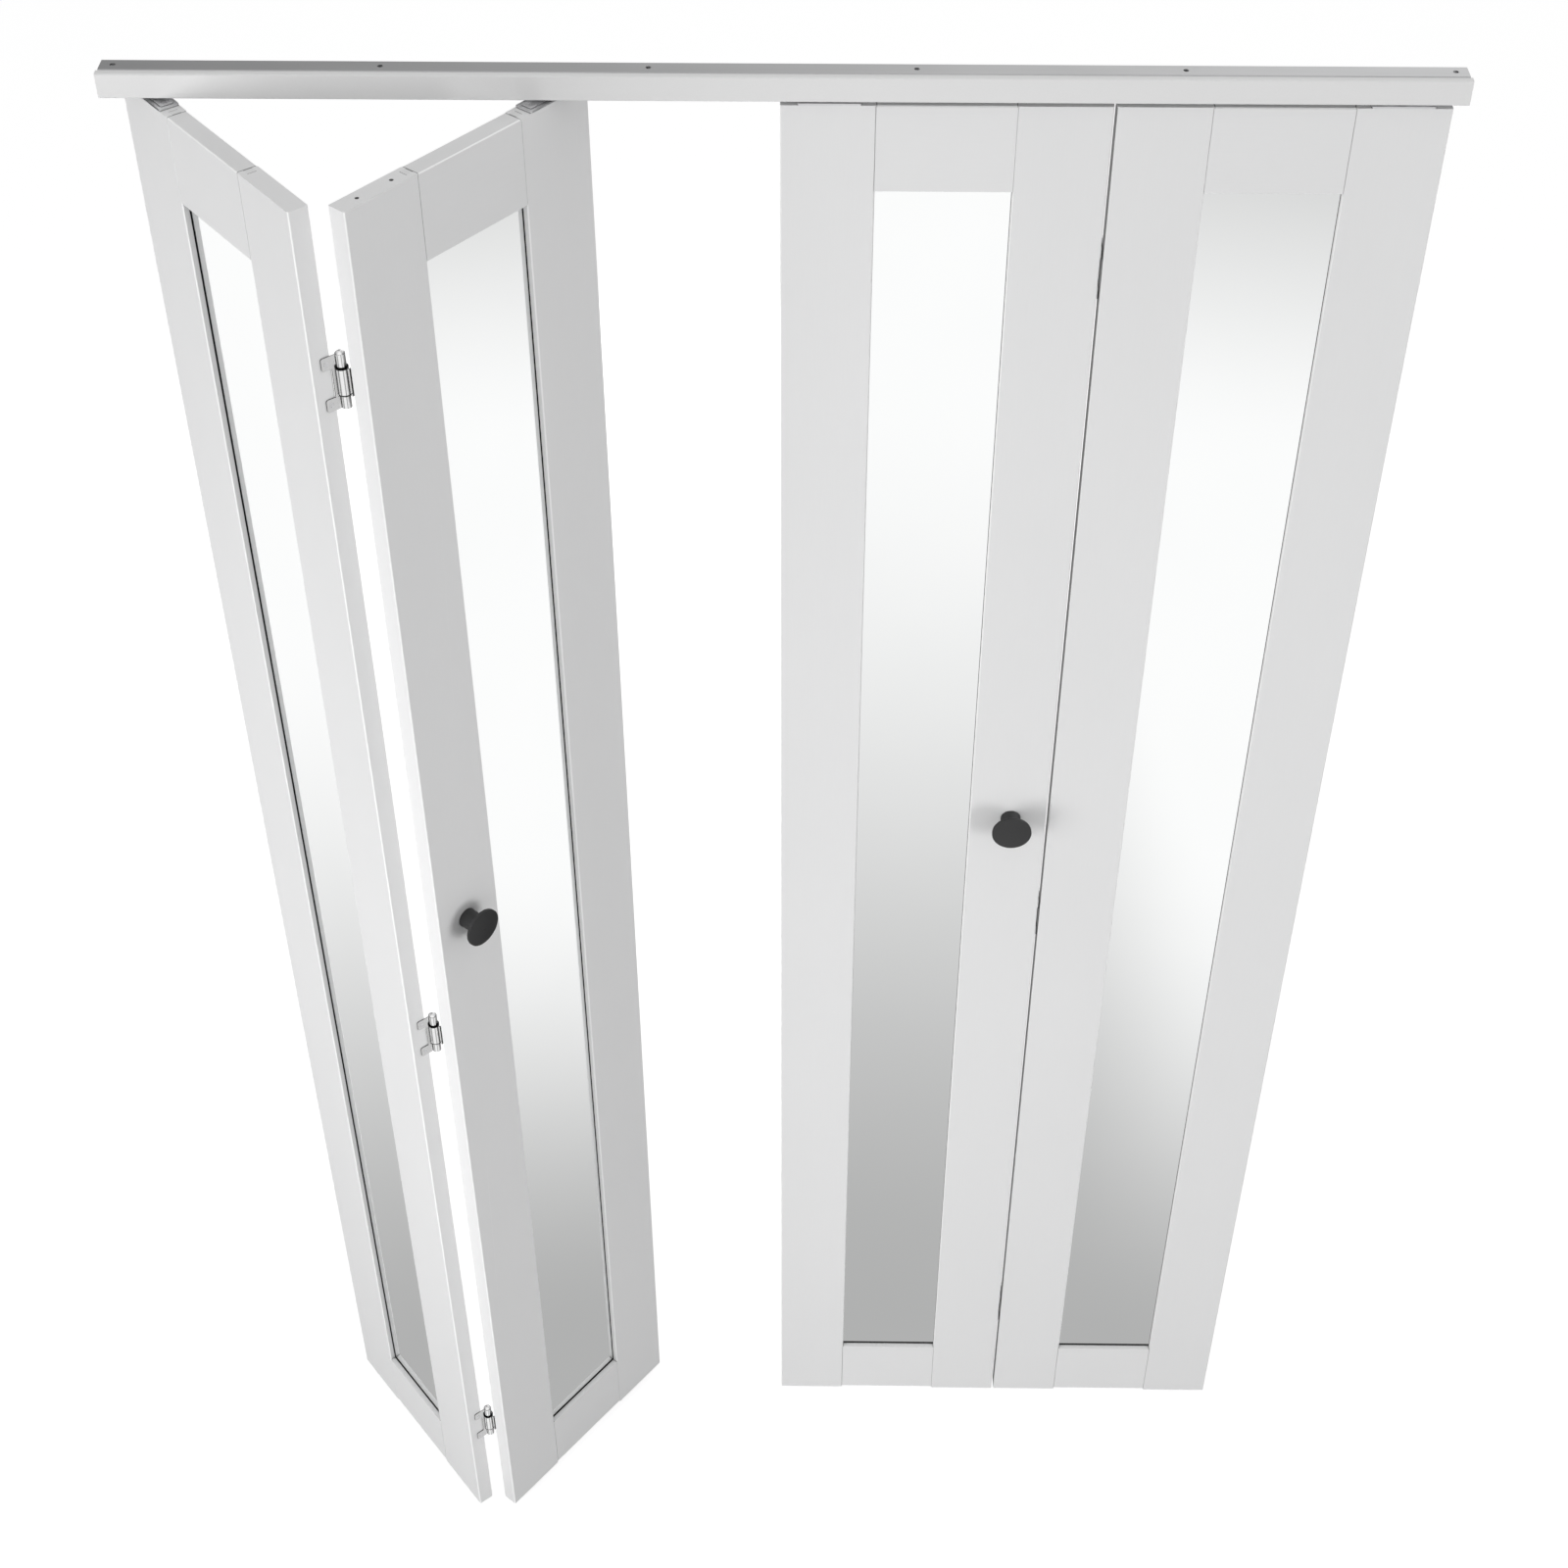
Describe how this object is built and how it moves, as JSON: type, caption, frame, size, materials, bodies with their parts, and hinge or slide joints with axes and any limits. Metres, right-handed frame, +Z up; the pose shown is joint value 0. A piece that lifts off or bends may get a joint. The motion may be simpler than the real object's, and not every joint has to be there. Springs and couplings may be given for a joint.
{
  "type": "bifold closet door",
  "caption": "Double bifold closet door with framed mirror panels that hang from a top track, fold on side hinges and have round knobs.",
  "frame": {"origin": "on the track's top face, in the middle of its length and on the line of the pivot and guide pins", "axes": "+X along the track, -Y towards the room, which the closed panels face, +Z up"},
  "size_m": [1.2192, 0.2463, 2.021],
  "materials": {
    "white_lacquered_wood": "satin white lacquer over wood",
    "mirror": "silvered float glass",
    "backing_board": "white faced board",
    "channel_aluminium": "mill finish extrusion",
    "fascia_white": "white powder coat",
    "bracket_zinc": "zinc casting",
    "plate_steel": "bright zinc plate",
    "pin_steel": "turned steel",
    "hinge_nickel": "bright nickel plate",
    "roller_nylon": "white nylon",
    "knob_black": "matt black coat",
    "screw_zinc": "bright zinc plate"
  },
  "bodies": {
    "track": {"bracket_clamp_screws": "screw_zinc", "left_pivot_bracket": "bracket_zinc", "right_pivot_bracket": "bracket_zinc", "track_channel": "channel_aluminium", "track_fascia": "fascia_white"},
    "left_pivot_panel": {"left_bottom_pivot_pin": "pin_steel", "left_bottom_pivot_plate": "plate_steel", "left_hinge_pins": "hinge_nickel", "left_pivot_panel_backing_board": "backing_board", "left_pivot_panel_bottom_rail": "white_lacquered_wood", "left_pivot_panel_fold_stile": "white_lacquered_wood", "left_pivot_panel_hinge_leaves": "hinge_nickel", "left_pivot_panel_mirror": "mirror", "left_pivot_panel_pin_stile": "white_lacquered_wood", "left_pivot_panel_screws": "screw_zinc", "left_pivot_panel_top_rail": "white_lacquered_wood", "left_top_pivot_pin": "pin_steel", "left_top_pivot_plate": "plate_steel"},
    "left_lead_panel": {"left_guide_pin": "pin_steel", "left_guide_plate": "plate_steel", "left_knob": "knob_black", "left_knob_screw": "screw_zinc", "left_lead_panel_backing_board": "backing_board", "left_lead_panel_bottom_rail": "white_lacquered_wood", "left_lead_panel_fold_stile": "white_lacquered_wood", "left_lead_panel_hinge_leaves": "hinge_nickel", "left_lead_panel_mirror": "mirror", "left_lead_panel_pin_stile": "white_lacquered_wood", "left_lead_panel_screws": "screw_zinc", "left_lead_panel_top_rail": "white_lacquered_wood"},
    "left_roller": {"left_guide_roller": "roller_nylon"},
    "right_pivot_panel": {"right_bottom_pivot_pin": "pin_steel", "right_bottom_pivot_plate": "plate_steel", "right_hinge_pins": "hinge_nickel", "right_pivot_panel_backing_board": "backing_board", "right_pivot_panel_bottom_rail": "white_lacquered_wood", "right_pivot_panel_fold_stile": "white_lacquered_wood", "right_pivot_panel_hinge_leaves": "hinge_nickel", "right_pivot_panel_mirror": "mirror", "right_pivot_panel_pin_stile": "white_lacquered_wood", "right_pivot_panel_screws": "screw_zinc", "right_pivot_panel_top_rail": "white_lacquered_wood", "right_top_pivot_pin": "pin_steel", "right_top_pivot_plate": "plate_steel"},
    "right_lead_panel": {"right_guide_pin": "pin_steel", "right_guide_plate": "plate_steel", "right_knob": "knob_black", "right_knob_screw": "screw_zinc", "right_lead_panel_backing_board": "backing_board", "right_lead_panel_bottom_rail": "white_lacquered_wood", "right_lead_panel_fold_stile": "white_lacquered_wood", "right_lead_panel_hinge_leaves": "hinge_nickel", "right_lead_panel_mirror": "mirror", "right_lead_panel_pin_stile": "white_lacquered_wood", "right_lead_panel_screws": "screw_zinc", "right_lead_panel_top_rail": "white_lacquered_wood"},
    "right_roller": {"right_guide_roller": "roller_nylon"}
  },
  "joints": [
    {"name": "left_pivot", "type": "hinge", "parent": "track", "child": "left_pivot_panel", "pos_m": [-0.564, 0, -0.017], "axis": [0, 0, -1], "range_deg": [-51.1, 36.9]},
    {"name": "left_fold", "type": "hinge", "parent": "left_pivot_panel", "child": "left_lead_panel", "pos_m": [-0.38817, -0.18701, -1.0698], "axis": [0, 0, 1], "range_deg": [-102.2, 73.8]},
    {"name": "left_roller_spin", "type": "hinge", "parent": "left_lead_panel", "child": "left_roller", "pos_m": [-0.21235, 0, -0.0176], "axis": [0, 0, 1], "continuous": true},
    {"name": "right_pivot", "type": "hinge", "parent": "track", "child": "right_pivot_panel", "pos_m": [0.5538, 0, -0.017], "axis": [0, 0, 1], "range_deg": [0, 88]},
    {"name": "right_fold", "type": "hinge", "parent": "right_pivot_panel", "child": "right_lead_panel", "pos_m": [0.29785, 0.0194, -1.0698], "axis": [0, 0, -1], "range_deg": [0, 176]},
    {"name": "right_roller_spin", "type": "hinge", "parent": "right_lead_panel", "child": "right_roller", "pos_m": [0.0419, 0, -0.0176], "axis": [0, 0, 1], "continuous": true}
  ],
  "couplings": [
    {"joint": "left_fold", "follows": "left_pivot", "ratio": 2},
    {"joint": "right_fold", "follows": "right_pivot", "ratio": 2}
  ]
}
